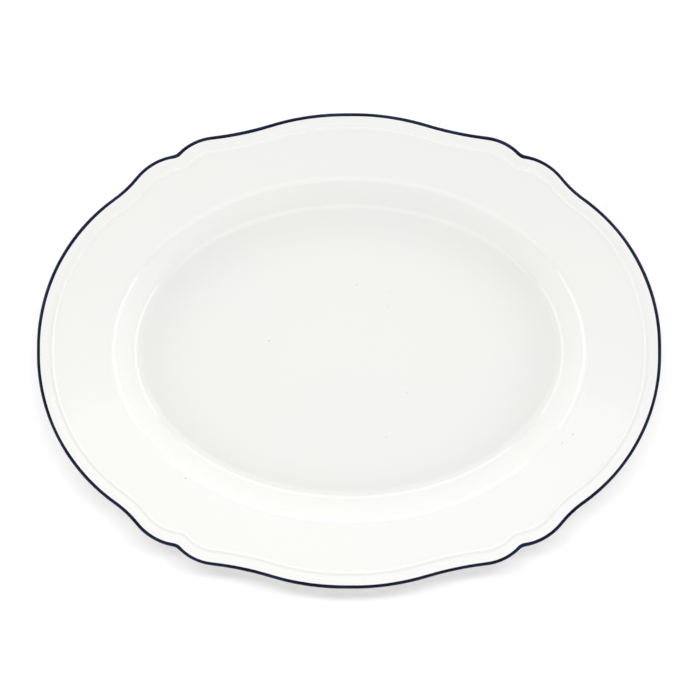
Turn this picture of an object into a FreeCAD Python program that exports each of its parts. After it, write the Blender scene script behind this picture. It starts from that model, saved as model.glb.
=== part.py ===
import FreeCAD, Part
import math
import os

import Sketcher
from FreeCAD import Placement, Rotation, Vector

# Oval serving platter in glazed porcelain, lying flat on its foot ring.
# X runs along the length, Y across the width, Z up from the tread of the foot.

SIZES = [
    ("platter_length", 340.0, "Length over the lip at both ends"),
    ("platter_width", 259.0, "Width over the lip at both sides"),
    ("rim_width_end", 40.2, "Rim from the lip to the shoulder, at the ends"),
    ("rim_width_side", 35.5, "Rim from the lip to the shoulder, at the sides"),
    ("rim_rise", 10.5, "Rise of the rim from the shoulder to the lip"),
    ("rim_thickness", 4.2, "Thickness of the rim, upright"),
    ("shoulder_thickness", 4.5, "Thickness at the shoulder, upright"),
    ("shoulder_spread", 2.7, "Step outwards from the shoulder to its underside"),
    ("well_depth", 15.0, "Depth of the well from the shoulder to the floor"),
    ("wall_run_end", 13.3, "Run of the well's wall in plan, at the ends"),
    ("wall_run_side", 14.5, "Run of the well's wall in plan, at the sides"),
    ("floor_thickness", 5.5, "Thickness of the floor"),
    ("base_spread", 2.3, "Step outwards from the floor's corner to its underside"),
    ("foot_height", 3.5, "Height of the foot ring"),
    ("foot_setback", 5.0, "Foot's tread inside the floor's corner"),
    ("foot_splay", 1.5, "Slope outwards of each side of the foot, up to the base"),
    ("tread_width", 3.0, "Width of the tread"),
    ("tread_radius", 1.0, "Rounding of both edges of the tread"),
    ("foot_radius", 1.5, "Rounding where the foot meets the base"),
    ("floor_radius", 7.0, "Rounding between the floor and the wall"),
    ("shoulder_radius", 9.0, "Rounding of the shoulder"),
    ("base_radius", 6.0, "Rounding of the base's corner, underneath"),
    ("neck_radius", 10.0, "Rounding below the shoulder, underneath"),
    ("lip_radius", 1.9, "Rounding of the lip, above and below"),
    ("drawn_length", 340.0, "Length at which the outline below is drawn"),
    ("drawn_width", 259.0, "Width at which the outline below is drawn"),
    ("end_sweep_out", 52.2403, "Corner of the end's sweep, out from the long axis"),
    ("end_cove_along", 121.839, "Cove beside the end, along from the middle"),
    ("end_cove_out", 88.04705, "Cove beside the end, out from the long axis"),
    ("end_lobe_along", 108.46, "Lobe beside the end, along from the middle"),
    ("end_lobe_out", 103.6, "Lobe beside the end, out from the long axis"),
    ("notch_along", 94.282, "Notch, along from the middle"),
    ("notch_out", 106.967, "Notch, out from the long axis"),
    ("side_lobe_along", 84.762, "Lobe beside the side, along from the middle"),
    ("side_lobe_out", 115.39745, "Lobe beside the side, out from the long axis"),
    ("side_cove_along", 58.259, "Cove beside the side, along from the middle"),
    ("side_cove_out", 119.1141, "Cove beside the side, out from the long axis"),
    ("side_sweep_along", 21.981, "Corner of the side's sweep, along from the middle"),
    ("end_radius", 100.0, "Sweep of the outline across each end"),
    ("end_cove_radius", 60.0, "Turn of the outline beside each end"),
    ("end_lobe_radius", 34.0, "Lobe between the end and the notch"),
    ("notch_radius", 6.0, "Hollow of the notch in each quarter"),
    ("side_lobe_radius", 31.0, "Lobe between the notch and the side"),
    ("side_cove_radius", 190.0, "Turn of the outline beside each side"),
    ("side_radius", 140.0, "Sweep of the outline along each side"),
    ("thread_inset", 7.3, "Moulded thread's outer edge, in from the outline"),
    ("thread_width", 2.3, "Width of the moulded thread"),
    ("thread_height", 0.45, "Height of the moulded thread above the rim"),
    ("cusp_radius", 0.8, "Moulded thread's turn at the notch"),
    ("glaze_thickness", 0.3, "Thickness of the glaze"),
    ("bare_height", 1.2, "Bare porcelain above the tread"),
    ("line_width", 1.8, "Blue line over the lip, in from the outline"),
]

# Turns of the outline in one quarter, from the end round to the side. A turn
# with no place along stands at the end, and one with no place out at the side.
TURNS = ["end", "end_cove", "end_lobe", "notch", "side_lobe", "side_cove", "side"]
STRAIGHT_LEFT = 0.97

# How far the lofts run past the lip before the outline trims them.
RIM_REACH = 1.2
ABOVE_RIM = 4.0

# Places of the shoulder, the floor, the loft's reach and the foot, from the sheet.
HALF_LENGTH = "Sizes.platter_length/2"
HALF_WIDTH = "Sizes.platter_width/2"
SHOULDER_LENGTH = f"{HALF_LENGTH}-Sizes.rim_width_end"
SHOULDER_WIDTH = f"{HALF_WIDTH}-Sizes.rim_width_side"
FLOOR_LENGTH = f"{SHOULDER_LENGTH}-Sizes.wall_run_end"
FLOOR_WIDTH = f"{SHOULDER_WIDTH}-Sizes.wall_run_side"
REACH_LENGTH = f"{SHOULDER_LENGTH}+Sizes.rim_width_end*{RIM_REACH}"
REACH_WIDTH = f"{SHOULDER_WIDTH}+Sizes.rim_width_side*{RIM_REACH}"
FLOOR_LEVEL = "Sizes.foot_height+Sizes.floor_thickness"
SHOULDER_LEVEL = f"{FLOOR_LEVEL}+Sizes.well_depth"
REACH_LEVEL = f"{SHOULDER_LEVEL}+Sizes.rim_rise*{RIM_REACH}"
FOOT_LENGTH = f"{FLOOR_LENGTH}-Sizes.foot_setback"
FOOT_WIDTH = f"{FLOOR_WIDTH}-Sizes.foot_setback"

doc = FreeCAD.newDocument("serving_platter")
sheet = doc.addObject("Spreadsheet::Sheet", "Sizes")
for row, (name, value, note) in enumerate(SIZES, 1):
    sheet.set(f"A{row}", note)
    sheet.set(f"B{row}", str(value))
    sheet.setAlias(f"B{row}", name)
doc.recompute()


def size(name):
    return float(sheet.get(name))


def unit(vector):
    return vector / vector.Length


def across(vector):
    return Vector(-vector.y, vector.x, 0)


def corner_points():
    """Corners of the outline, anticlockwise, each with the name of its turn."""
    stretch_along = size("platter_length") / size("drawn_length")
    stretch_out = size("platter_width") / size("drawn_width")
    places = [
        (size("drawn_length") / 2, size("end_sweep_out")),
        (size("end_cove_along"), size("end_cove_out")),
        (size("end_lobe_along"), size("end_lobe_out")),
        (size("notch_along"), size("notch_out")),
        (size("side_lobe_along"), size("side_lobe_out")),
        (size("side_cove_along"), size("side_cove_out")),
        (size("side_sweep_along"), size("drawn_width") / 2),
    ]
    quarter = []
    for (along, out), turn in zip(places, TURNS):
        quarter.append((along * stretch_along, out * stretch_out, turn))
    points = [(x, y, turn) for x, y, turn in quarter]
    points += [(-x, y, turn) for x, y, turn in reversed(quarter)]
    points += [(-x, -y, turn) for x, y, turn in quarter]
    points += [(x, -y, turn) for x, y, turn in reversed(quarter)]
    return [(Vector(x, y, 0), turn) for x, y, turn in points]


def turn_angle(before, after):
    """Signed angle from one direction to the next, positive to the left."""
    return math.atan2(before.x * after.y - before.y * after.x, before.dot(after))


def turn_radii(points):
    """Radius at each corner, held down where two turns would meet on a side."""
    count = len(points)
    sides = [points[(k + 1) % count][0] - points[k][0] for k in range(count)]
    radii = [size(f"{turn}_radius") for corner, turn in points]
    reaches = []
    for k in range(count):
        angle = turn_angle(unit(sides[k - 1]), unit(sides[k]))
        reaches.append(radii[k] * math.tan(abs(angle) / 2))
    room = []
    for k in range(count):
        needed = reaches[k] + reaches[(k + 1) % count]
        room.append(min(1.0, sides[k].Length * STRAIGHT_LEFT / needed))
    return [radii[k] * min(room[k - 1], room[k]) for k in range(count)]


def meeting_point(first, second):
    """Where two lines cross, each given by a point and a direction."""
    start, run = first
    other, aim = second
    gap = other - start
    turn = run.x * aim.y - run.y * aim.x
    return start + run * ((gap.x * aim.y - gap.y * aim.x) / turn)


def outline(inset, notch=None):
    """Arcs and lines of the outline, moved inwards by the inset."""
    points = corner_points()
    radii = turn_radii(points)
    sides = []
    for place, (corner, turn) in enumerate(points):
        onward = unit(points[(place + 1) % len(points)][0] - corner)
        sides.append((corner + across(onward) * inset, onward))
    arcs = []
    for place, (corner, turn) in enumerate(points):
        before = sides[place - 1]
        after = sides[place]
        peak = meeting_point(before, after)
        angle = turn_angle(before[1], after[1])
        hand = math.copysign(1.0, angle)
        radius = radii[place] - hand * inset
        if notch is not None and turn == "notch":
            radius = notch
        reach = radius * math.tan(abs(angle) / 2)
        start = peak - before[1] * reach
        end = peak + after[1] * reach
        centre = start + across(before[1]) * hand * radius
        middle = centre + unit(peak - centre) * radius
        arcs.append((start, middle, end))
    edges = []
    for place, (start, middle, end) in enumerate(arcs):
        onward = arcs[(place + 1) % len(arcs)][0]
        edges.append(Part.Arc(start, middle, end))
        edges.append(Part.LineSegment(end, onward))
    return edges


def frame_lines():
    """A rectangle well outside the outline."""
    x = size("platter_length")
    y = size("platter_width")
    ends = [Vector(x, y, 0), Vector(-x, y, 0), Vector(-x, -y, 0), Vector(x, -y, 0)]
    return [Part.LineSegment(ends[i], ends[(i + 1) % 4]) for i in range(4)]


def plan_sketch(body, name, height):
    """A sketch parallel to the table, at a height given as an expression."""
    plane = [item for item in body.Origin.OriginFeatures if item.Role == "XY_Plane"][0]
    sketch = body.newObject("Sketcher::SketchObject", name)
    sketch.AttachmentSupport = (plane, [""])
    sketch.MapMode = "FlatFace"
    sketch.setExpression("AttachmentOffset.Base.z", height)
    return sketch


def oval(body, name, half_length, half_width, height):
    """An ellipse whose half axes and height are expressions on the sheet."""
    sketch = plan_sketch(body, name, height)
    start_length = size("platter_length") / 2
    start_width = size("platter_width") / 2
    ellipse = Part.Ellipse(Vector(0, 0, 0), start_length, start_width)
    curve = sketch.addGeometry(ellipse, False)
    sketch.exposeInternalGeometry(curve)
    sketch.addConstraint(Sketcher.Constraint("Coincident", curve, 3, -1, 1))
    sketch.addConstraint(Sketcher.Constraint("Horizontal", 1))
    long_axis = sketch.addConstraint(Sketcher.Constraint("Distance", 1, start_length * 2))
    short_axis = sketch.addConstraint(Sketcher.Constraint("Distance", 2, start_width * 2))
    sketch.setExpression(f"Constraints[{long_axis}]", f"2*({half_length})")
    sketch.setExpression(f"Constraints[{short_axis}]", f"2*({half_width})")
    return sketch


def loft(body, kind, name, sections):
    """A ruled loft through ovals, added to the body or taken from it."""
    feature = body.newObject(f"PartDesign::{kind}", name)
    feature.Profile = (sections[0], [""])
    feature.Sections = [(section, [""]) for section in sections[1:]]
    feature.Ruled = True
    doc.recompute()
    return feature


def rounded(body, name, base, edges, radius):
    """A fillet whose radius is an expression on the sheet."""
    feature = body.newObject("PartDesign::Fillet", name)
    feature.Base = (base, edges)
    feature.setExpression("Radius", radius)
    doc.recompute()
    return feature


def edges_on(shape, section):
    """Names of the edges that lie on the oval of a sketch."""
    found = []
    half_length = section.Geometry[0].MajorRadius
    height = section.Placement.Base.z
    for number, edge in enumerate(shape.Edges, 1):
        if not isinstance(edge.Curve, Part.Ellipse):
            continue
        same_size = abs(edge.Curve.MajorRadius - half_length) < 0.001
        same_height = abs(edge.Curve.Center.z - height) < 0.001
        if same_size and same_height:
            found.append(f"Edge{number}")
    return found


def slope(edge):
    """How steeply an edge climbs at its middle."""
    return edge.tangentAt((edge.FirstParameter + edge.LastParameter) / 2).z


def upright_walls(shape, low, high):
    """Faces that stand upright, with a height between two limits."""
    walls = []
    for face in shape.Faces:
        first_u, last_u, first_v, last_v = face.ParameterRange
        normal = face.normalAt((first_u + last_u) / 2, (first_v + last_v) / 2)
        if abs(normal.z) > 0.00001:
            continue
        heights = [edge.Length for edge in face.Edges if abs(slope(edge)) > 0.99]
        if heights and low < max(heights) < high:
            walls.append(face)
    return walls


def level_edges(wall):
    """Edges of an upright wall that run round the platter."""
    return [edge for edge in wall.Edges if abs(slope(edge)) < 0.7]


def named(shape, picked):
    """Names of the picked edges in a shape."""
    marks = {edge.hashCode() for edge in picked}
    return [f"Edge{i}" for i, e in enumerate(shape.Edges, 1) if e.hashCode() in marks]


def dish(label, coat):
    """The platter's form with every surface inside the finished one by the coat."""
    body = doc.addObject("PartDesign::Body", label)
    body.Label = label
    base = oval(body, f"{label}_base", f"{FLOOR_LENGTH}+Sizes.base_spread",
                f"{FLOOR_WIDTH}+Sizes.base_spread", f"Sizes.foot_height+{coat}")
    neck = oval(body, f"{label}_neck", f"{SHOULDER_LENGTH}+Sizes.shoulder_spread",
                f"{SHOULDER_WIDTH}+Sizes.shoulder_spread",
                f"{SHOULDER_LEVEL}-Sizes.shoulder_thickness+{coat}")
    under_rim = oval(body, f"{label}_under_rim", REACH_LENGTH, REACH_WIDTH,
                     f"{REACH_LEVEL}-Sizes.rim_thickness+{coat}")
    over_rim = oval(body, f"{label}_over_rim", REACH_LENGTH, REACH_WIDTH,
                    f"{REACH_LEVEL}+{ABOVE_RIM / 2}")
    loft(body, "AdditiveLoft", f"{label}_mass", [base, neck, under_rim, over_rim])

    floor = oval(body, f"{label}_floor", FLOOR_LENGTH, FLOOR_WIDTH,
                 f"{FLOOR_LEVEL}-{coat}")
    shoulder = oval(body, f"{label}_shoulder", SHOULDER_LENGTH, SHOULDER_WIDTH,
                    f"{SHOULDER_LEVEL}-{coat}")
    rim = oval(body, f"{label}_rim", REACH_LENGTH, REACH_WIDTH, f"{REACH_LEVEL}-{coat}")
    above = oval(body, f"{label}_above", REACH_LENGTH, REACH_WIDTH,
                 f"{REACH_LEVEL}+{ABOVE_RIM}")
    loft(body, "SubtractiveLoft", f"{label}_well", [floor, shoulder, rim, above])

    tread = oval(body, f"{label}_tread", f"{FOOT_LENGTH}-{coat}",
                 f"{FOOT_WIDTH}-{coat}", "0")
    foot = oval(body, f"{label}_foot", f"{FOOT_LENGTH}+Sizes.foot_splay-{coat}",
                f"{FOOT_WIDTH}+Sizes.foot_splay-{coat}", f"Sizes.foot_height+{coat}")
    loft(body, "AdditiveLoft", f"{label}_foot_ring", [tread, foot])
    inner_tread = oval(body, f"{label}_inner_tread",
                       f"{FOOT_LENGTH}-Sizes.tread_width+{coat}",
                       f"{FOOT_WIDTH}-Sizes.tread_width+{coat}", "0")
    inner_foot = oval(body, f"{label}_inner_foot",
                      f"{FOOT_LENGTH}-Sizes.tread_width-Sizes.foot_splay+{coat}",
                      f"{FOOT_WIDTH}-Sizes.tread_width-Sizes.foot_splay+{coat}",
                      f"Sizes.foot_height+{coat}")
    loft(body, "SubtractiveLoft", f"{label}_recess", [inner_tread, inner_foot])

    inset = 0.0 if coat == "0" else size("glaze_thickness")
    trim = plan_sketch(body, f"{label}_outline", "0")
    trim.addGeometry(frame_lines() + outline(inset), False)
    pocket = body.newObject("PartDesign::Pocket", f"{label}_trim")
    pocket.Profile = trim
    pocket.Type = "ThroughAll"
    pocket.Midplane = True
    doc.recompute()

    thread_in = size("thread_inset") + inset
    thread_out = size("thread_inset") + size("thread_width") - inset
    cusp_in = size("cusp_radius") + inset
    cusp_out = size("cusp_radius") + size("thread_width") - inset
    fall = "Sizes.rim_rise*(Sizes.thread_inset+Sizes.thread_width)/Sizes.rim_width_side"
    band_level = f"{SHOULDER_LEVEL}+Sizes.rim_rise-{fall}-Sizes.rim_thickness/2"
    band = plan_sketch(body, f"{label}_thread_plan", band_level)
    band.addGeometry(outline(thread_in, cusp_in) + outline(thread_out, cusp_out), False)
    ridge = body.newObject("PartDesign::Pad", f"{label}_thread")
    ridge.Profile = band
    ridge.setExpression("Length", f"Sizes.rim_rise+{ABOVE_RIM}")
    doc.recompute()
    lift = f"+Sizes.thread_height-{coat}"
    crest_floor = oval(body, f"{label}_crest_floor", FLOOR_LENGTH, FLOOR_WIDTH,
                       f"{FLOOR_LEVEL}{lift}")
    crest_shoulder = oval(body, f"{label}_crest_shoulder", SHOULDER_LENGTH,
                          SHOULDER_WIDTH, f"{SHOULDER_LEVEL}{lift}")
    crest_rim = oval(body, f"{label}_crest_rim", REACH_LENGTH, REACH_WIDTH,
                     f"{REACH_LEVEL}{lift}")
    crest_above = oval(body, f"{label}_crest_above", REACH_LENGTH, REACH_WIDTH,
                       f"{REACH_LEVEL}+{2 * ABOVE_RIM}")
    crest = loft(body, "SubtractiveLoft", f"{label}_crest",
                 [crest_floor, crest_shoulder, crest_rim, crest_above])

    feature = crest
    for name, section, radius in [
        ("floor", floor, "Sizes.floor_radius"),
        ("shoulder", shoulder, "Sizes.shoulder_radius"),
        ("base", base, "Sizes.base_radius"),
        ("neck", neck, "Sizes.neck_radius"),
        ("foot_outside", foot, "Sizes.foot_radius"),
        ("foot_inside", inner_foot, "Sizes.foot_radius"),
        ("tread_outside", tread, f"Sizes.tread_radius-{coat}"),
        ("tread_inside", inner_tread, f"Sizes.tread_radius-{coat}"),
    ]:
        edges = edges_on(feature.Shape, section)
        feature = rounded(body, f"{label}_{name}_turn", feature, edges, radius)
    lip = []
    for wall in upright_walls(feature.Shape, size("rim_thickness") / 2, size("rim_rise")):
        lip += level_edges(wall)
    edges = named(feature.Shape, lip)
    rounded(body, f"{label}_lip", feature, edges, f"Sizes.lip_radius-{coat}")
    return body


def zone(label, edges, low, high):
    """An upright block whose plan is given by edges, between two heights."""
    body = doc.addObject("PartDesign::Body", label)
    body.Label = label
    plan = plan_sketch(body, f"{label}_plan", low)
    plan.addGeometry(edges, False)
    block = body.newObject("PartDesign::Pad", f"{label}_block")
    block.Profile = plan
    block.setExpression("Length", f"{high}-({low})")
    doc.recompute()
    return body


def oval_zone(label, half_length, half_width, low, high):
    """An upright oval block between two heights."""
    body = doc.addObject("PartDesign::Body", label)
    body.Label = label
    plan = oval(body, f"{label}_plan", half_length, half_width, low)
    block = body.newObject("PartDesign::Pad", f"{label}_block")
    block.Profile = plan
    block.setExpression("Length", f"{high}-({low})")
    doc.recompute()
    return body


def combined(kind, label, base, tool):
    """A Part boolean of two pieces."""
    piece = doc.addObject(f"Part::{kind}", label)
    piece.Label = label
    piece.Base = base
    piece.Tool = tool
    doc.recompute()
    return piece


finished = dish("finished_form", "0")
core = dish("glaze_seat", "Sizes.glaze_thickness")

# Bare porcelain just above the tread, out to the whole width of the foot.
bare_zone = oval_zone("bare_zone", f"{FLOOR_LENGTH}+Sizes.base_spread",
                      f"{FLOOR_WIDTH}+Sizes.base_spread", "-1", "Sizes.bare_height")
bare_form = combined("Fuse", "bare_form", core, bare_zone)
porcelain_body = combined("Common", "porcelain_body", finished, bare_form)
glaze = combined("Cut", "glaze", finished, bare_form)

line_edges = frame_lines() + outline(size("line_width"))
line_zone = zone("line_zone", line_edges, FLOOR_LEVEL, f"{REACH_LEVEL}+{ABOVE_RIM}")
rim_line = combined("Common", "rim_line", glaze, line_zone)
plain_glaze = combined("Cut", "plain_glaze", glaze, line_zone)

# The middle of the porcelain's thickness parts the face from the back.
above_zone = doc.addObject("PartDesign::Body", "above_zone")
half_floor = "Sizes.floor_thickness/2"
half_shoulder = "Sizes.shoulder_thickness/2"
half_rim = "Sizes.rim_thickness/2"
above_sections = [
    oval(above_zone, "middle_floor", FLOOR_LENGTH, FLOOR_WIDTH,
         f"{FLOOR_LEVEL}-{half_floor}"),
    oval(above_zone, "middle_shoulder", SHOULDER_LENGTH, SHOULDER_WIDTH,
         f"{SHOULDER_LEVEL}-{half_shoulder}"),
    oval(above_zone, "middle_rim", REACH_LENGTH, REACH_WIDTH,
         f"{REACH_LEVEL}-{half_rim}"),
    oval(above_zone, "middle_top", REACH_LENGTH, REACH_WIDTH,
         f"{REACH_LEVEL}+{ABOVE_RIM}"),
]
loft(above_zone, "AdditiveLoft", "above_loft", above_sections)
face_glaze = combined("Common", "face_glaze", plain_glaze, above_zone)
under_glaze = combined("Cut", "under_glaze", plain_glaze, above_zone)

# The middle of the tread parts the base's glaze from the back's.
tread_middle = "Sizes.foot_setback+Sizes.tread_width/2"
base_zone = oval_zone("base_zone", f"{FLOOR_LENGTH}-({tread_middle})",
                      f"{FLOOR_WIDTH}-({tread_middle})", "0", FLOOR_LEVEL)
base_glaze = combined("Common", "base_glaze", under_glaze, base_zone)
back_glaze = combined("Cut", "back_glaze", under_glaze, base_zone)

doc.recompute()
pieces = [porcelain_body, face_glaze, back_glaze, base_glaze, rim_line]
for item in doc.Objects:
    if "Invalid" in item.State or "Error" in item.State:
        raise RuntimeError(f"{item.Label} did not recompute: {item.State}")
os.makedirs("parts", exist_ok=True)
for piece in pieces:
    if piece.Shape.isNull() or not piece.Shape.isValid():
        raise RuntimeError(f"{piece.Label} has no valid shape")
    piece.Placement = Placement(Vector(0, 0, 0), Rotation())
    piece.Shape.exportStep(f"parts/{piece.Label}.step")
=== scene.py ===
import math
import random
from types import SimpleNamespace

import bpy
import numpy as np
from bpy.props import FloatProperty, FloatVectorProperty, IntProperty, PointerProperty
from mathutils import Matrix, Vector
from mathutils.bvhtree import BVHTree


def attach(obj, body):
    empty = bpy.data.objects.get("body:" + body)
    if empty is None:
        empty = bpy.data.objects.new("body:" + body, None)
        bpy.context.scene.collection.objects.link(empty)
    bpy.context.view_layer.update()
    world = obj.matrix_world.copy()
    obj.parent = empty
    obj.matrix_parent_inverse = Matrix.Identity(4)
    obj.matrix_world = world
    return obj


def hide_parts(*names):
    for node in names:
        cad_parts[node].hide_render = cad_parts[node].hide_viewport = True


bl_info = {
    "name": "Serving Platter",
    "version": (1, 0, 0),
    "blender": (4, 5, 0),
    "location": "3D View > Sidebar > Platter",
    "description": "Builds the glazed oval serving platter on its packed frame, with floor, light and camera",
    "category": "Add Mesh",
}

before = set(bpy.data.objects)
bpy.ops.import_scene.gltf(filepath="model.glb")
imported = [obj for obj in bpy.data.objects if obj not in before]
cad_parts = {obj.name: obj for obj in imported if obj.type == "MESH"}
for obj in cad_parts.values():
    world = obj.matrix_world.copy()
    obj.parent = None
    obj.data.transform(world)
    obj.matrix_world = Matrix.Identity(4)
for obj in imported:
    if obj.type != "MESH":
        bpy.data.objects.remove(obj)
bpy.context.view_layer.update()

MM = 0.001

# Corners of the outline in one quarter, from the end round to the side: along as
# a share of the half length, out as a share of the half width, and the radius of
# the turn in millimetres. NOTCH is the notch's place in the list.
CORNERS = [
    (1.0, 0.4034, 100.0),
    (0.7167, 0.6799, 60.0),
    (0.638, 0.8, 34.0),
    (0.5546, 0.826, 6.0),
    (0.4986, 0.8911, 31.0),
    (0.3427, 0.9198, 190.0),
    (0.1293, 1.0, 140.0),
]
NOTCH = 3

# Fewest columns of the mesh on an arc and on a straight of the outline, and the
# columns on a notch's arc.
ARC_COLUMNS = 10
LINE_COLUMNS = 2
NOTCH_COLUMNS = 36

# The rim's slopes run past the lip, to this many times the rim's width.
RIM_REACH = 1.2

# Insets from the outline in millimetres: where the rim's rows meet the well's, the
# rows over the rim and the thread, the rows underneath, and the span on which the
# slope at the lip is taken.
FAR_INSET = 14.0
RIM_INSETS = np.concatenate([np.linspace(FAR_INSET, 11.0, 5), np.linspace(10.75, 2.75, 41)])
UNDER_INSETS = np.linspace(2.4, 13.0, 14)
SLOPE_SPAN = 3.0

# The moulding on the rim in millimetres: a soft swelling at an inset, a groove set
# outside the thread's middle, and how sharply the thread's crest falls off.
SWELLING_HEIGHT = 0.16
SWELLING_INSET = 4.4
SWELLING_SPREAD = 1.1
GROOVE_DEPTH = 0.16
GROOVE_SETBACK = 1.5
GROOVE_SPREAD = 0.55
CREST_SPREAD = 0.62

# Turns at the notch in millimetres: half the thread's width, a cusp at its outer
# side, wider at its inner side and wider still where the well's rows begin.
THREAD_HALF = 1.15
CUSP_TURN = 0.8
INNER_TURN = 3.1
FAR_TURN = 7.5

# The brush's waves along the painted line: height in millimetres, waves round the
# lip and phase. The line swells at each notch and fades over the reach.
BRUSH_WAVES = [(0.06, 7, 0.6), (0.04, 23, 2.0)]
NOTCH_SWELL = 0.22
NOTCH_REACH = 3.5

# Slow unevenness over the plan: weight, radians a millimetre along and out, phase.
SLOW_WAVES = [(0.7, 0.131, -0.097, 2.1), (0.45, 0.214, 0.173, 0.3), (0.25, -0.288, 0.391, 1.7)]

# The inner side of each shell keeps every third row of its outer side.
SKIN_STEP = 3

# Edges that turn by more than this stay sharp.
SHARP_EDGE = math.radians(45)

# A speck's dome: spread and rise of each ring as shares of its radius, its top and
# its sides. Specks drop onto the face from this height in metres.
SPECK_RINGS = [(1.0, -0.10), (1.0, 0.02), (0.75, 0.10), (0.4, 0.15)]
SPECK_TOP = 0.17
SPECK_SIDES = 14
DROP_HEIGHT = 0.2

# Lamps: name, the property that holds its radiance, place, size across and up in
# metres, and whether the glaze mirrors it.
LAMPS = [
    ("overhead_strip", "strip", (0.0, 0.33, 1.75), (1.3, 0.16), False),
    ("overhead_panel", "overhead", (0.0, 0.90, 1.9), (2.8, 1.2), True),
    ("near_panel", "near_panel", (0.0, -1.5, 0.95), (2.4, 1.5), True),
    ("far_panel", "far_panel", (0.0, 1.7, 0.5), (2.6, 0.8), True),
    ("left_panel", "left_panel", (-1.7, 0.0, 0.5), (2.6, 0.8), True),
    ("right_panel", "right_panel", (1.7, 0.0, 0.5), (2.6, 0.8), True),
]

# Half the floor's side in metres, and the camera's sensor in millimetres.
FLOOR_HALF = 3.0
SENSOR = 36.0


class PlatterShape(bpy.types.PropertyGroup):
    length: FloatProperty(name="Length", description="Length over the lip", default=0.340, unit="LENGTH")
    width: FloatProperty(name="Width", description="Width over the lip", default=0.259, unit="LENGTH")
    rim_end: FloatProperty(
        name="Rim at ends", description="Rim from the lip to the shoulder, at the ends",
        default=0.0402, unit="LENGTH")
    rim_side: FloatProperty(
        name="Rim at sides", description="Rim from the lip to the shoulder, at the sides",
        default=0.0355, unit="LENGTH")
    rim_rise: FloatProperty(
        name="Rim rise", description="Rise of the rim from the shoulder to the lip",
        default=0.0105, unit="LENGTH")
    rim_thickness: FloatProperty(
        name="Rim thickness", description="Thickness of the rim, upright", default=0.0042, unit="LENGTH")
    shoulder_thickness: FloatProperty(
        name="Shoulder thickness", description="Thickness at the shoulder, upright",
        default=0.0045, unit="LENGTH")
    shoulder_spread: FloatProperty(
        name="Shoulder spread", description="Step outwards from the shoulder to its underside",
        default=0.0027, unit="LENGTH")
    well_depth: FloatProperty(
        name="Well depth", description="Depth of the well below the shoulder", default=0.015, unit="LENGTH")
    wall_run_end: FloatProperty(
        name="Wall run at ends", description="Run of the well's wall in plan, at the ends",
        default=0.0133, unit="LENGTH")
    wall_run_side: FloatProperty(
        name="Wall run at sides", description="Run of the well's wall in plan, at the sides",
        default=0.0145, unit="LENGTH")
    floor_level: FloatProperty(
        name="Floor level", description="Height of the well's floor above the table",
        default=0.009, unit="LENGTH")
    base_spread: FloatProperty(
        name="Base spread", description="Step outwards from the floor's corner to its underside",
        default=0.0023, unit="LENGTH")
    foot_height: FloatProperty(
        name="Foot height", description="Height of the foot ring", default=0.0035, unit="LENGTH")
    foot_setback: FloatProperty(
        name="Foot setback", description="Foot's tread inside the floor's corner",
        default=0.005, unit="LENGTH")
    foot_splay: FloatProperty(
        name="Foot splay", description="Slope outwards of each side of the foot, up to the base",
        default=0.0015, unit="LENGTH")
    tread_width: FloatProperty(
        name="Tread width", description="Width of the tread", default=0.003, unit="LENGTH")
    tread_radius: FloatProperty(
        name="Tread radius", description="Rounding of both edges of the tread", default=0.001, unit="LENGTH")
    foot_radius: FloatProperty(
        name="Foot radius", description="Rounding where the foot meets the base",
        default=0.0015, unit="LENGTH")
    base_radius: FloatProperty(
        name="Base radius", description="Rounding of the base's corner, underneath",
        default=0.006, unit="LENGTH")
    neck_radius: FloatProperty(
        name="Neck radius", description="Rounding below the shoulder, underneath",
        default=0.010, unit="LENGTH")
    floor_radius: FloatProperty(
        name="Floor radius", description="Rounding between the floor and the wall",
        default=0.007, unit="LENGTH")
    shoulder_radius: FloatProperty(
        name="Shoulder radius", description="Rounding of the shoulder", default=0.009, unit="LENGTH")
    lip_radius: FloatProperty(
        name="Lip radius", description="Rounding of the lip", default=0.0019, unit="LENGTH")
    glaze: FloatProperty(name="Glaze", description="Thickness of the glaze", default=0.0003, unit="LENGTH")
    bare_height: FloatProperty(
        name="Bare height", description="Bare porcelain above the tread", default=0.0012, unit="LENGTH")
    line_width: FloatProperty(
        name="Line width", description="Blue line, in from the outline", default=0.00195, unit="LENGTH")
    thread_inset: FloatProperty(
        name="Thread inset", description="Middle of the moulded thread, in from the outline",
        default=0.00845, unit="LENGTH")
    thread_height: FloatProperty(
        name="Thread height", description="Height of the moulded thread", default=0.00045, unit="LENGTH")
    wave: FloatProperty(
        name="Unevenness", description="Unevenness of the hand-finished surface",
        default=0.000025, unit="LENGTH")
    step: FloatProperty(
        name="Column spacing", description="Spacing of the mesh round the lip", default=0.0009, unit="LENGTH")
    speck_count: IntProperty(
        name="Specks", description="Number of iron specks in the face's glaze", default=11, min=0)
    speck_seed: IntProperty(
        name="Speck seed", description="Seed of the specks' places and sizes", default=4)
    speck_reach: FloatProperty(
        name="Speck reach", description="How far out specks lie, as a share of the half axes",
        default=0.88, min=0.0, max=0.9)
    speck_smallest: FloatProperty(
        name="Smallest speck", description="Radius of the smallest speck", default=0.00016, unit="LENGTH")
    speck_largest: FloatProperty(
        name="Largest speck", description="Radius of the largest speck", default=0.00030, unit="LENGTH")


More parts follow.
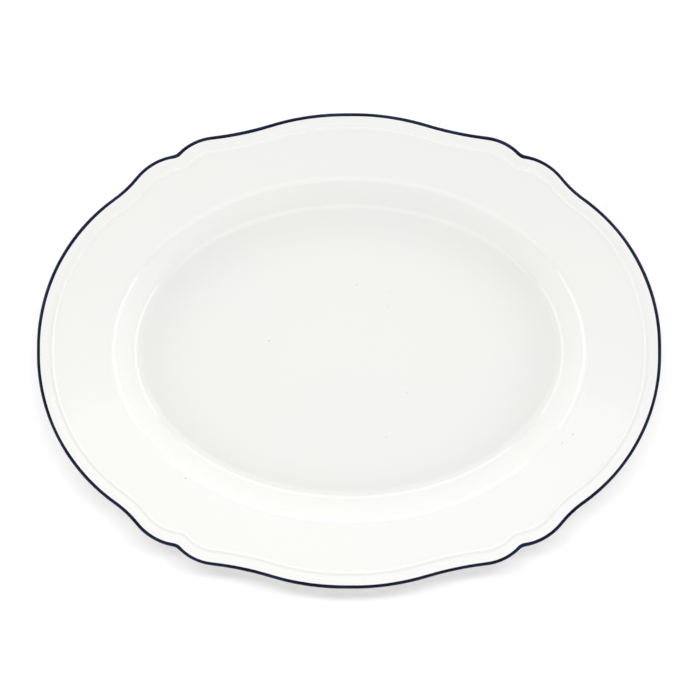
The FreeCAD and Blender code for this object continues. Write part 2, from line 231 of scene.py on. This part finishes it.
class PlatterFinish(bpy.types.PropertyGroup):
    glaze_colour: FloatVectorProperty(name="Glaze", description="Colour of the glazed porcelain",
                                      default=(0.835, 0.835, 0.819), subtype="COLOR", size=3)
    line_colour: FloatVectorProperty(name="Line", description="Colour of the painted line",
                                     default=(0.003, 0.006, 0.022), subtype="COLOR", size=3)
    bare_colour: FloatVectorProperty(name="Bare porcelain", description="Colour of the unglazed tread",
                                     default=(0.72, 0.69, 0.63), subtype="COLOR", size=3)
    speck_colour: FloatVectorProperty(name="Specks", description="Colour of the iron specks",
                                      default=(0.05, 0.035, 0.025), subtype="COLOR", size=3)
    glaze_roughness: FloatProperty(name="Glaze roughness", description="Roughness of the glaze",
                                   default=0.09, min=0.0, max=1.0, subtype="FACTOR")


class PlatterStudio(bpy.types.PropertyGroup):
    distance: FloatProperty(
        name="Camera distance", description="Camera above the lip", default=1.6, unit="LENGTH")
    view_width: FloatProperty(
        name="View width", description="Width seen at the lip", default=0.3806, unit="LENGTH")
    aim: FloatVectorProperty(
        name="Aim", description="Where the camera looks straight down, from the middle",
        default=(0.0005, 0.0005), size=2, unit="LENGTH")
    strip: FloatProperty(
        name="Overhead strip", description="Radiance of the strip light overhead, beyond the middle",
        default=19.0, min=0.0)
    overhead: FloatProperty(
        name="Overhead panel", description="Radiance of the broad panel overhead, beyond the middle",
        default=0.42, min=0.0)
    near_panel: FloatProperty(
        name="Near panel", description="Radiance of the soft panel at the near side",
        default=0.95, min=0.0)
    far_panel: FloatProperty(
        name="Far panel", description="Radiance of the low panel beyond the far side",
        default=2.15, min=0.0)
    left_panel: FloatProperty(
        name="Left panel", description="Radiance of the low panel at the left", default=1.97, min=0.0)
    right_panel: FloatProperty(
        name="Right panel", description="Radiance of the low panel at the right", default=2.22, min=0.0)
    sky: FloatProperty(name="Sky", description="Strength of the light all round", default=0.32, min=0.0)
    # Painted glow: the floor gives off light of its own, though it is no lamp, which brightens it and the
    # platter's underside.
    floor_glow: FloatProperty(
        name="Floor glow", description="Light that the lit table gives off", default=0.05, min=0.0)


# ---------------------------------------------------------------- plan curves


def unit(rows):
    return rows / np.linalg.norm(rows, axis=-1, keepdims=True)


def turned_left(rows):
    return np.stack([-rows[..., 1], rows[..., 0]], axis=-1)


class Plan:
    """The outline and the curves that run inside it, with matching columns."""

    def __init__(self, half_length, half_width, step):
        quarter = [(x * half_length, y * half_width, r, i) for i, (x, y, r) in enumerate(CORNERS)]
        ring = list(quarter)
        ring += [(-x, y, r, i) for x, y, r, i in reversed(quarter)]
        ring += [(-x, -y, r, i) for x, y, r, i in quarter]
        ring += [(x, -y, r, i) for x, y, r, i in reversed(quarter)]
        self.corners = np.array([(x, y) for x, y, r, i in ring])
        self.radii = np.array([r for x, y, r, i in ring])
        self.notches = np.array([i == NOTCH for x, y, r, i in ring])
        self.onward = unit(np.roll(self.corners, -1, axis=0) - self.corners)
        before = np.roll(self.onward, 1, axis=0)
        swing = before[:, 0] * self.onward[:, 1] - before[:, 1] * self.onward[:, 0]
        self.turn = np.arctan2(swing, (before * self.onward).sum(1))
        reach = self.radii * np.tan(abs(self.turn) / 2)
        gaps = np.linalg.norm(np.roll(self.corners, -1, axis=0) - self.corners, axis=1)
        straight = gaps - reach - np.roll(reach, -1)
        self.arc_columns = np.maximum(np.ceil(self.radii * abs(self.turn) / step), ARC_COLUMNS).astype(int)
        self.arc_columns[self.notches] = NOTCH_COLUMNS
        self.line_columns = np.maximum(np.ceil(straight / step), LINE_COLUMNS).astype(int)

    def curve(self, inset, notch=None):
        """Points and inward directions of the curve that lies an inset inside the outline."""
        shifted = self.corners + turned_left(self.onward) * inset
        arcs = []
        ends = []
        for k in range(len(self.corners)):
            before = self.onward[k - 1]
            after = self.onward[k]
            gap = shifted[k] - shifted[k - 1]
            cross = before[0] * after[1] - before[1] * after[0]
            peak = shifted[k - 1] + before * ((gap[0] * after[1] - gap[1] * after[0]) / cross)
            hand = math.copysign(1.0, self.turn[k])
            radius = self.radii[k] - hand * inset
            if notch is not None and self.notches[k]:
                radius = notch
            start = peak - before * radius * math.tan(abs(self.turn[k]) / 2)
            centre = start + turned_left(before) * hand * radius
            first = math.atan2(*(start - centre)[::-1])
            angles = first + self.turn[k] * np.linspace(0, 1, self.arc_columns[k], endpoint=False)
            spoke = np.stack([np.cos(angles), np.sin(angles)], 1)
            arcs.append((centre + radius * spoke, -hand * spoke))
            end_angle = first + self.turn[k]
            end = centre + radius * np.array([math.cos(end_angle), math.sin(end_angle)])
            ends.append((start, end))
        points = []
        inward = []
        for k, (arc, spokes) in enumerate(arcs):
            end = ends[k][1]
            onward = ends[(k + 1) % len(ends)][0]
            share = np.linspace(0, 1, self.line_columns[k], endpoint=False)[:, None]
            points += [arc, end + (onward - end) * share]
            inward += [spokes, np.repeat(turned_left(self.onward[k])[None], self.line_columns[k], 0)]
        return np.concatenate(points), np.concatenate(inward)


# ------------------------------------------------------------------- sections


class Cone:
    """The sloping surface between two ovals, known by half axes and height."""

    def __init__(self, inner, outer):
        self.inner = np.array(inner, float)
        self.outer = np.array(outer, float)

    def share(self, plan):
        low = np.full(len(plan), -0.5)
        high = np.full(len(plan), 1.5)
        for _ in range(50):
            middle = (low + high) / 2
            axes = self.inner[:2] + (self.outer[:2] - self.inner[:2]) * middle[:, None]
            outside = ((plan / axes) ** 2).sum(1) > 1
            low = np.where(outside, middle, low)
            high = np.where(outside, high, middle)
        return (low + high) / 2

    def height(self, plan):
        return self.inner[2] + (self.outer[2] - self.inner[2]) * self.share(plan)

    def angle(self, plan):
        """The place round the oval of each point's own line down the slope."""
        axes = self.inner[:2] + (self.outer[:2] - self.inner[:2]) * self.share(plan)[:, None]
        return np.arctan2(plan[:, 1] / axes[:, 1], plan[:, 0] / axes[:, 0])


def oval(axes, height, angle):
    return np.stack([axes[0] * np.cos(angle), axes[1] * np.sin(angle), np.full_like(angle, height)], 1)


def arc_rows(before, corner, after, radius, count):
    """Rows of an arc that rounds a corner, column by column."""
    first = unit(corner - before)
    second = unit(after - corner)
    cosine = np.clip((first * second).sum(1), -1, 1)
    turn = np.arccos(cosine)
    side = unit(second - first * cosine[:, None])
    start = corner - first * (radius * np.tan(turn / 2))[:, None]
    rows = []
    for share in np.linspace(0, 1, count):
        angle = (turn * share)[:, None]
        rows.append(start + radius * (np.sin(angle) * first + (1 - np.cos(angle)) * side))
    return rows


def between(first, last, count, ends=(False, False)):
    """Rows from one row to another, with or without the two ends."""
    shares = np.linspace(0, 1, count + 2)
    if not ends[0]:
        shares = shares[1:]
    if not ends[1]:
        shares = shares[:-1]
    return [first + (last - first) * share for share in shares]


def uneven(rows, size):
    """A slow unevenness over the plan, as a hand-finished surface has."""
    x = rows[:, 0]
    y = rows[:, 1]
    waves = np.sin(0.071 * x + 0.9) * np.sin(0.083 * y + 0.4)
    for weight, along, out, phase in SLOW_WAVES:
        waves = waves + weight * np.sin(along * x + out * y + phase)
    return rows + np.stack([0 * x, 0 * x, size * waves], 1)


def at_height(first, last, height):
    """The row at a height on the way from one row to another."""
    share = (height - first[0, 2]) / (last[0, 2] - first[0, 2])
    return first + (last - first) * share


def hump(inset, height, place, spread):
    """A smooth hump at a place, which fades over the spread."""
    return height * math.exp(-(((inset - place) / spread) ** 2))


def relief(inset, thread, height):
    """Height of the moulding on the rim at an inset: a swelling, a groove and a thread."""
    swelling = hump(inset, SWELLING_HEIGHT, SWELLING_INSET, SWELLING_SPREAD)
    groove = hump(inset, -GROOVE_DEPTH, thread - GROOVE_SETBACK, GROOVE_SPREAD)
    return swelling + groove + hump(inset, height, thread, CREST_SPREAD)


def in_millimetres(shape):
    """The shape's lengths in millimetres, under their own names."""
    lengths = [name for name, prop in shape.bl_rna.properties.items() if prop.unit == "LENGTH"]
    return SimpleNamespace(**{name: getattr(shape, name) / MM for name in lengths})


class Form:
    """Every row of the platter's outer surface, in millimetres."""

    def __init__(self, shape):
        size = in_millimetres(shape)
        self.size = size
        half = np.array([size.length / 2, size.width / 2])
        rim = np.array([size.rim_end, size.rim_side])
        self.plan = Plan(half[0], half[1], size.step)
        self.shoulder = half - rim
        self.shoulder_level = size.floor_level + size.well_depth
        self.floor = self.shoulder - np.array([size.wall_run_end, size.wall_run_side])
        self.neck = self.shoulder + size.shoulder_spread
        self.neck_level = self.shoulder_level - size.shoulder_thickness
        reach = self.shoulder + rim * RIM_REACH
        reach_level = self.shoulder_level + size.rim_rise * RIM_REACH
        self.over = Cone((*self.shoulder, self.shoulder_level), (*reach, reach_level))
        self.under = Cone((*self.neck, self.neck_level), (*reach, reach_level - size.rim_thickness))
        self.edge, self.inward = self.plan.curve(0.0)
        self.far, _ = self.plan.curve(FAR_INSET, self.notch_turn(FAR_INSET))
        self.build_face()
        self.build_rim()
        self.build_underside()

    def notch_turn(self, inset):
        """Radius of a curve's turn at the notch: round at the lip, a cusp at the thread."""
        line = self.size.line_width
        thread = self.size.thread_inset
        radius = CORNERS[NOTCH][2]
        marks = [0.0, line, thread - THREAD_HALF, thread + THREAD_HALF, FAR_INSET]
        radii = [radius, radius + line, CUSP_TURN, INNER_TURN, FAR_TURN]
        return float(np.interp(inset, marks, radii))

    def painted_width(self):
        """Width of the line round the lip, uneven from the brush and broader at each notch."""
        column = np.arange(len(self.edge)) / len(self.edge) * 2 * math.pi
        width = self.size.line_width
        for height, waves, phase in BRUSH_WAVES:
            width = width + height * np.sin(waves * column + phase)
        notches = self.plan.corners[self.plan.notches]
        away = np.linalg.norm(self.edge[:, None] - notches[None], axis=2).min(axis=1)
        return width + NOTCH_SWELL * np.exp(-((away / NOTCH_REACH) ** 2))

    def rim_row(self, inset, cone):
        plan, _ = self.plan.curve(inset, self.notch_turn(inset))
        return np.column_stack([plan, cone.height(plan)])

    def moulded_row(self, inset):
        """A row of the rim's upper side, raised by the swelling and the thread."""
        row = self.rim_row(inset, self.over)
        row[:, 2] += relief(inset, self.size.thread_inset, self.size.thread_height)
        return row

    def lip_arc(self, cone, side):
        """Last angle and middle of the lip's arc, which runs from upright to the cone."""
        lip = self.size.lip_radius
        at_edge = cone.height(self.edge)
        fall = (at_edge - cone.height(self.edge + self.inward * SLOPE_SPAN)) / SLOPE_SPAN
        last = side * (math.pi / 2 + side * np.arctan(fall))
        return last, at_edge - fall * lip * (1 - np.cos(last)) - lip * np.sin(last)

    def lip_row(self, angle, middle):
        lip = self.size.lip_radius
        plan = self.edge + self.inward * (lip * (1 - np.cos(angle)))[:, None]
        return np.column_stack([plan, middle + lip * np.sin(angle)])

    def build_face(self):
        """From the middle of the well out over the rim to the line's upper edge."""
        size = self.size
        angle = self.over.angle(self.far)
        centre = np.zeros((len(angle), 3)) + np.array([0, 0, size.floor_level])
        floor = oval(self.floor, size.floor_level, angle)
        shoulder = oval(self.shoulder, self.shoulder_level, angle)
        out = np.column_stack([self.far, self.over.height(self.far)])
        floor_arc = arc_rows(centre, floor, shoulder, size.floor_radius, 9)
        shoulder_arc = arc_rows(floor, shoulder, out, size.shoulder_radius, 13)
        rows = [centre[0] + (floor_arc[0] - centre[0]) * s for s in np.linspace(0, 1, 40)[1:-1] ** 0.8]
        rows += floor_arc
        rows += between(floor_arc[-1], shoulder_arc[0], 8)
        rows += shoulder_arc
        rows += between(shoulder_arc[-1], out, 18)
        rows += [self.moulded_row(inset) for inset in RIM_INSETS]
        self.line = self.painted_width()
        self.mark = np.arccos(1 - self.line / size.lip_radius)
        last, self.lip_middle = self.lip_arc(self.over, 1)
        for share in np.linspace(0, 1, 5):
            rows.append(self.lip_row(last + (self.mark - last) * share, self.lip_middle))
        self.face = [uneven(row, size.wave) for row in rows]
        self.face_pole = uneven(centre[:1], size.wave)[0]

    def build_rim(self):
        """The painted line, from its upper edge over the lip to its lower edge."""
        upper = [self.lip_row(self.mark * (1 - share), self.lip_middle) for share in np.linspace(0, 1, 13)]
        last, middle = self.lip_arc(self.under, -1)
        lower = [self.lip_row(last * share, middle) for share in np.linspace(0, 1, 11)]
        plan = self.edge + self.inward * self.line[:, None]
        edge_row = np.column_stack([plan, self.under.height(plan)])
        self.rim = [self.face[-1]] + upper[1:] + lower + [edge_row]

    def build_underside(self):
        """From the line's lower edge in to the foot, over its tread and in to the middle."""
        size = self.size
        angle = self.under.angle(self.far)
        tread_end = size.foot_setback + size.tread_width
        out = np.column_stack([self.far, self.under.height(self.far)])
        neck = oval(self.neck, self.neck_level, angle)
        base = oval(self.floor + size.base_spread, size.foot_height, angle)
        foot = oval(self.floor - (size.foot_setback - size.foot_splay), size.foot_height, angle)
        tread = oval(self.floor - size.foot_setback, 0.0, angle)
        inner_tread = oval(self.floor - tread_end, 0.0, angle)
        inner_foot = oval(self.floor - (tread_end + size.foot_splay), size.foot_height, angle)
        centre = np.zeros((len(angle), 3)) + np.array([0, 0, size.foot_height])
        neck_arc = arc_rows(out, neck, base, size.neck_radius, 9)
        base_arc = arc_rows(neck, base, foot, size.base_radius, 9)
        foot_arc = arc_rows(base, foot, tread, size.foot_radius, 7)
        tread_arc = arc_rows(foot, tread, inner_tread, size.tread_radius, 7)
        inner_arc = arc_rows(tread, inner_tread, inner_foot, size.tread_radius, 7)
        recess_arc = arc_rows(inner_tread, inner_foot, centre, size.foot_radius, 7)
        outer_edge = at_height(foot_arc[-1], tread_arc[0], size.bare_height)
        inner_edge = at_height(inner_arc[-1], recess_arc[0], size.bare_height)

        back = [self.rim[-1]]
        back += [self.rim_row(inset, self.under) for inset in UNDER_INSETS]
        back += between(out, neck_arc[0], 14, ends=(True, False))
        back += neck_arc
        back += between(neck_arc[-1], base_arc[0], 8)
        back += base_arc
        back += between(base_arc[-1], foot_arc[0], 2)
        back += foot_arc
        back += between(foot_arc[-1], outer_edge, 2, ends=(False, True))
        self.back = back

        self.tread = [outer_edge] + tread_arc + between(tread_arc[-1], inner_arc[0], 2)
        self.tread += inner_arc + [inner_edge]

        inside = [inner_edge] + between(inner_edge, recess_arc[0], 2) + recess_arc
        for share in np.linspace(0, 1, 24)[1:-1]:
            inside.append(recess_arc[-1] + (centre - recess_arc[-1]) * share)
        self.inside = inside
        self.under_pole = centre[0]


def row_normals(rows):
    """Outward surface directions of a run of rows."""
    grid = np.stack(rows)
    down = np.gradient(grid, axis=0)
    around = np.roll(grid, -1, axis=1) - np.roll(grid, 1, axis=1)
    normals = np.cross(down, around)
    length = np.linalg.norm(normals, axis=2, keepdims=True)
    return normals / np.maximum(length, 1e-12)


def moved_in(rows, depth):
    """Rows below the surface by a depth, thinned to every few rows and the last."""
    normals = row_normals(rows)
    keep = sorted({*range(0, len(rows), SKIN_STEP), len(rows) - 1})
    return [rows[i] - normals[i] * depth for i in keep]


def mesh_of(name, rows, closed=False):
    """A mesh from rows of equal columns; a single point closes an end."""
    columns = max(len(row) for row in rows if row.ndim == 2)
    points = []
    starts = []
    for row in rows:
        starts.append(len(points))
        points.extend(row.tolist() if row.ndim == 2 else [row.tolist()])
    faces = []
    pairs = list(zip(range(len(rows) - 1), range(1, len(rows))))
    if closed:
        pairs.append((len(rows) - 1, 0))
    for first, second in pairs:
        a = starts[first]
        b = starts[second]
        for i in range(columns):
            j = (i + 1) % columns
            if rows[first].ndim == 1:
                faces.append((a, b + i, b + j))
            elif rows[second].ndim == 1:
                faces.append((a + j, a + i, b))
            else:
                faces.append((a + j, a + i, b + i, b + j))
    mesh = bpy.data.meshes.new(name)
    mesh.from_pydata([(x * MM, y * MM, z * MM) for x, y, z in points], [], faces)
    mesh.shade_smooth()
    mesh.set_sharp_from_angle(angle=SHARP_EDGE)
    mesh.update()
    piece = bpy.data.objects.new(name, mesh)
    bpy.context.scene.collection.objects.link(piece)
    return piece


# ------------------------------------------------------------------ materials


def new_material(name):
    """A new material, with its nodes, links, shader and the object's own coordinates."""
    material = bpy.data.materials.new(name)
    material.use_nodes = True
    nodes = material.node_tree.nodes
    place = nodes.new("ShaderNodeTexCoord").outputs["Object"]
    return material, nodes, material.node_tree.links, nodes["Principled BSDF"], place


def tinted(colour, factors):
    return tuple(part * factor for part, factor in zip(colour, factors))


def noise(nodes, links, scale, detail, source):
    texture = nodes.new("ShaderNodeTexNoise")
    texture.inputs["Scale"].default_value = scale
    texture.inputs["Detail"].default_value = detail
    links.new(source, texture.inputs["Vector"])
    return texture.outputs["Fac"]


def ramp(nodes, links, source, low, high, first, last):
    stops = nodes.new("ShaderNodeValToRGB")
    stops.color_ramp.elements[0].position = low
    stops.color_ramp.elements[1].position = high
    stops.color_ramp.elements[0].color = (*first, 1)
    stops.color_ramp.elements[1].color = (*last, 1)
    links.new(source, stops.inputs["Fac"])
    return stops.outputs["Color"]


def add_bump(nodes, links, shader, height, strength, distance):
    bump = nodes.new("ShaderNodeBump")
    bump.inputs["Strength"].default_value = strength
    bump.inputs["Distance"].default_value = distance
    links.new(height, bump.inputs["Height"])
    links.new(bump.outputs["Normal"], shader.inputs["Normal"])


def glaze_material(finish):
    """Glossy white glaze that drifts a little between warm and cool."""
    material, nodes, links, shader, place = new_material("white_glaze")
    warm = tinted(finish.glaze_colour, (1.0, 0.996, 0.985))
    cool = tinted(finish.glaze_colour, (0.994, 0.995, 0.998))
    tone = noise(nodes, links, 9.0, 3.0, place)
    links.new(ramp(nodes, links, tone, 0.35, 0.65, warm, cool), shader.inputs["Base Color"])
    shader.inputs["Roughness"].default_value = finish.glaze_roughness
    shader.inputs["IOR"].default_value = 1.5
    shader.inputs["Coat Weight"].default_value = 0.25
    shader.inputs["Coat Roughness"].default_value = 0.03
    add_bump(nodes, links, shader, noise(nodes, links, 420.0, 2.0, place), 0.06, 0.0004)
    return material


def line_material(finish):
    """Blue enamel, paler where the brush left it thin."""
    material, nodes, links, shader, place = new_material("blue_enamel")
    colour = tuple(finish.line_colour)
    thin = tuple(part * 2.0 + white for part, white in zip(colour, (0.006, 0.008, 0.010)))
    brushed = noise(nodes, links, 55.0, 4.0, place)
    links.new(ramp(nodes, links, brushed, 0.38, 0.72, colour, thin), shader.inputs["Base Color"])
    shader.inputs["Roughness"].default_value = 0.35
    shader.inputs["IOR"].default_value = 1.4
    shader.inputs["Specular IOR Level"].default_value = 0.1
    return material


def bare_material(finish):
    """Rough bare porcelain, darker where the tread has worn."""
    material, nodes, links, shader, place = new_material("bare_porcelain")
    worn = tinted(finish.bare_colour, (0.80, 0.76, 0.70))
    grain = noise(nodes, links, 160.0, 5.0, place)
    links.new(ramp(nodes, links, grain, 0.45, 0.75, finish.bare_colour, worn), shader.inputs["Base Color"])
    shader.inputs["Roughness"].default_value = 0.85
    add_bump(nodes, links, shader, noise(nodes, links, 1400.0, 3.0, place), 0.25, 0.0003)
    return material


def speck_material(finish):
    """Mottled brown iron."""
    material, nodes, links, shader, place = new_material("iron_speck")
    pale = tinted(finish.speck_colour, (3.0, 2.8, 2.6))
    mottle = noise(nodes, links, 900.0, 2.0, place)
    links.new(ramp(nodes, links, mottle, 0.4, 0.7, finish.speck_colour, pale), shader.inputs["Base Color"])
    shader.inputs["Roughness"].default_value = 0.3
    return material


def floor_material(glow):
    """Matt pale paper with a painted glow: it gives off a little light of its own, though it is no lamp."""
    material, nodes, links, shader, place = new_material("floor_paper")
    tone = noise(nodes, links, 3.0, 2.0, place)
    colour = ramp(nodes, links, tone, 0.3, 0.7, (0.93, 0.93, 0.93), (0.95, 0.95, 0.95))
    links.new(colour, shader.inputs["Base Color"])
    shader.inputs["Roughness"].default_value = 0.9
    # Painted glow: the floor gives off an even light of its own, though it is no lamp.
    shader.inputs["Emission Color"].default_value = (1.0, 1.0, 1.0, 1.0)
    shader.inputs["Emission Strength"].default_value = glow
    return material


# ------------------------------------------------------------------ operators


def platter_form():
    return Form(bpy.context.scene.platter_shape)


def settle(piece, material, node=None):
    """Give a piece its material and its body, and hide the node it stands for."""
    piece.data.materials.append(material)
    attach(piece, "root")
    if node:
        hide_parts(node)


class PLATTER_OT_porcelain(bpy.types.Operator):
    """Build the porcelain under the glaze, with its bare tread"""
    bl_idname = "platter.porcelain"
    bl_label = "Porcelain"

    def execute(self, context):
        form = platter_form()
        top = moved_in(form.face, form.size.glaze)
        rim = moved_in(form.rim, form.size.glaze)
        back = moved_in(form.back, form.size.glaze)
        inside = moved_in(form.inside, form.size.glaze)
        rows = [form.face_pole - np.array([0, 0, form.size.glaze])] + top + rim[1:] + back[1:]
        rows += form.tread + inside + [form.under_pole + np.array([0, 0, form.size.glaze])]
        piece = mesh_of("porcelain", rows)
        settle(piece, bare_material(context.scene.platter_finish), "porcelain_body")
        return {"FINISHED"}


class PLATTER_OT_glaze(bpy.types.Operator):
    """Build the glaze on the face, the back and the base"""
    bl_idname = "platter.glaze"
    bl_label = "Glaze"

    def execute(self, context):
        form = platter_form()
        material = glaze_material(context.scene.platter_finish)
        skin = moved_in(form.face, form.size.glaze)
        under_pole = form.face_pole - np.array([0, 0, form.size.glaze])
        rows = [form.face_pole] + form.face + skin[::-1] + [under_pole]
        settle(mesh_of("glaze_face", rows), material, "face_glaze")
        skin = moved_in(form.back, form.size.glaze)
        settle(mesh_of("glaze_back", form.back + skin[::-1], True), material, "back_glaze")
        skin = moved_in(form.inside, form.size.glaze)
        pole = form.under_pole + np.array([0, 0, form.size.glaze])
        rows = [pole] + skin[::-1] + form.inside + [form.under_pole]
        settle(mesh_of("glaze_base", rows), material, "base_glaze")
        return {"FINISHED"}


class PLATTER_OT_line(bpy.types.Operator):
    """Build the dark blue line over the lip"""
    bl_idname = "platter.line"
    bl_label = "Blue line"

    def execute(self, context):
        form = platter_form()
        skin = moved_in(form.rim, form.size.glaze)
        piece = mesh_of("line_on_lip", form.rim + skin[::-1], True)
        settle(piece, line_material(context.scene.platter_finish), "rim_line")
        return {"FINISHED"}


class PLATTER_OT_specks(bpy.types.Operator):
    """Set the specks of iron into the face's glaze"""
    bl_idname = "platter.specks"
    bl_label = "Iron specks"

    def execute(self, context):
        face = bpy.data.objects.get("glaze_face")
        if face is None:
            raise RuntimeError("Build the glaze before the specks")
        tree = BVHTree.FromObject(face, context.evaluated_depsgraph_get())
        points = []
        faces = []
        shape = context.scene.platter_shape
        draw = random.Random(shape.speck_seed)
        for _ in range(shape.speck_count):
            angle = draw.uniform(0, 2 * math.pi)
            reach = shape.speck_reach * math.sqrt(draw.random()) / 2
            radius = draw.uniform(shape.speck_smallest, shape.speck_largest)
            along = shape.length * reach * math.cos(angle)
            out = shape.width * reach * math.sin(angle)
            spot, normal, _, _ = tree.ray_cast(Vector((along, out, DROP_HEIGHT)), Vector((0, 0, -1)))
            if spot is None:
                raise RuntimeError("A speck lies off the face")
            add_speck(points, faces, spot, normal, radius)
        mesh = bpy.data.meshes.new("kiln_specks")
        mesh.from_pydata(points, [], faces)
        mesh.shade_smooth()
        piece = bpy.data.objects.new("kiln_specks", mesh)
        context.scene.collection.objects.link(piece)
        settle(piece, speck_material(context.scene.platter_finish))
        return {"FINISHED"}


def add_speck(points, faces, spot, normal, radius):
    """A low closed dome, a little longer one way."""
    across = normal.orthogonal().normalized()
    along = normal.cross(across)
    start = len(points)
    for spread, rise in SPECK_RINGS:
        for k in range(SPECK_SIDES):
            angle = 2 * math.pi * k / SPECK_SIDES
            ragged = 1 + 0.16 * math.sin(3 * angle + spot.x * 900)
            ragged = ragged + 0.1 * math.sin(2 * angle + spot.y * 700)
            reach = radius * spread * ragged
            offset = across * (math.cos(angle) * reach) + along * (math.sin(angle) * reach * 0.8)
            points.append(spot + offset + normal * (radius * rise))
    top = len(points)
    bottom = top + 1
    points.append(spot + normal * (radius * SPECK_TOP))
    points.append(spot + normal * (radius * SPECK_RINGS[0][1]))
    last = start + (len(SPECK_RINGS) - 1) * SPECK_SIDES
    for ring in range(start, last, SPECK_SIDES):
        above = ring + SPECK_SIDES
        for k in range(SPECK_SIDES):
            j = (k + 1) % SPECK_SIDES
            faces.append((ring + k, ring + j, above + j, above + k))
    for k in range(SPECK_SIDES):
        j = (k + 1) % SPECK_SIDES
        faces.append((last + k, last + j, top))
        faces.append((start + j, start + k, bottom))


def soft_panel(name, place, spread, radiance, mirrored):
    """A soft lamp that faces the platter and shines evenly over its own area."""
    across, up = spread
    data = bpy.data.lights.new(name, "AREA")
    data.shape = "RECTANGLE"
    data.size = across
    data.size_y = up
    data.energy = radiance * math.pi * across * up
    lamp = bpy.data.objects.new(name, data)
    lamp.location = place
    lamp.rotation_euler = (-Vector(place)).to_track_quat("-Z", "Y").to_euler()
    lamp.visible_glossy = mirrored
    bpy.context.scene.collection.objects.link(lamp)
    return lamp


class PLATTER_OT_studio(bpy.types.Operator):
    """Lay the pale floor and set up the soft light and the camera"""
    bl_idname = "platter.studio"
    bl_label = "Studio"

    def execute(self, context):
        studio = context.scene.platter_studio
        shape = context.scene.platter_shape
        mesh = bpy.data.meshes.new("floor")
        corners = [(-1, -1), (1, -1), (1, 1), (-1, 1)]
        mesh.from_pydata([(x * FLOOR_HALF, y * FLOOR_HALF, 0) for x, y in corners], [], [(0, 1, 2, 3)])
        floor = bpy.data.objects.new("floor", mesh)
        floor.data.materials.append(floor_material(studio.floor_glow))
        context.scene.collection.objects.link(floor)
        for name, strength, place, spread, mirrored in LAMPS:
            soft_panel(name, place, spread, getattr(studio, strength), mirrored)

        world = bpy.data.worlds.new("studio")
        world.use_nodes = True
        background = world.node_tree.nodes["Background"]
        background.inputs["Color"].default_value = (1.0, 1.0, 1.0, 1.0)
        background.inputs["Strength"].default_value = studio.sky
        context.scene.world = world

        lens = bpy.data.cameras.new("camera")
        lens.sensor_width = SENSOR
        lens.lens = SENSOR * studio.distance / studio.view_width
        camera = bpy.data.objects.new("camera", lens)
        lip_level = shape.floor_level + shape.well_depth + shape.rim_rise
        camera.location = (*studio.aim, studio.distance + lip_level)
        context.scene.collection.objects.link(camera)
        context.scene.camera = camera
        context.scene.view_settings.view_transform = "Standard"
        return {"FINISHED"}


class PLATTER_PT_panel(bpy.types.Panel):
    """Sizes, colours and the steps of the platter"""
    bl_label = "Serving Platter"
    bl_idname = "PLATTER_PT_panel"
    bl_space_type = "VIEW_3D"
    bl_region_type = "UI"
    bl_category = "Platter"

    def draw(self, context):
        layout = self.layout
        for group in ("platter_shape", "platter_finish", "platter_studio"):
            settings = getattr(context.scene, group)
            box = layout.box()
            for name in settings.__annotations__:
                box.prop(settings, name)
        for operator in OPERATORS:
            layout.operator(operator.bl_idname)


GROUPS = (
    ("platter_shape", PlatterShape),
    ("platter_finish", PlatterFinish),
    ("platter_studio", PlatterStudio),
)
OPERATORS = (
    PLATTER_OT_porcelain,
    PLATTER_OT_glaze,
    PLATTER_OT_line,
    PLATTER_OT_specks,
    PLATTER_OT_studio,
)


def register():
    for name, group in GROUPS:
        bpy.utils.register_class(group)
        setattr(bpy.types.Scene, name, PointerProperty(type=group))
    for operator in OPERATORS:
        bpy.utils.register_class(operator)
    bpy.utils.register_class(PLATTER_PT_panel)


def unregister():
    bpy.utils.unregister_class(PLATTER_PT_panel)
    for operator in reversed(OPERATORS):
        bpy.utils.unregister_class(operator)
    for name, group in reversed(GROUPS):
        delattr(bpy.types.Scene, name)
        bpy.utils.unregister_class(group)


def main():
    register()
    bpy.ops.platter.porcelain()
    bpy.ops.platter.glaze()
    bpy.ops.platter.line()
    bpy.ops.platter.specks()
    bpy.ops.platter.studio()


if __name__ == "__main__":
    main()
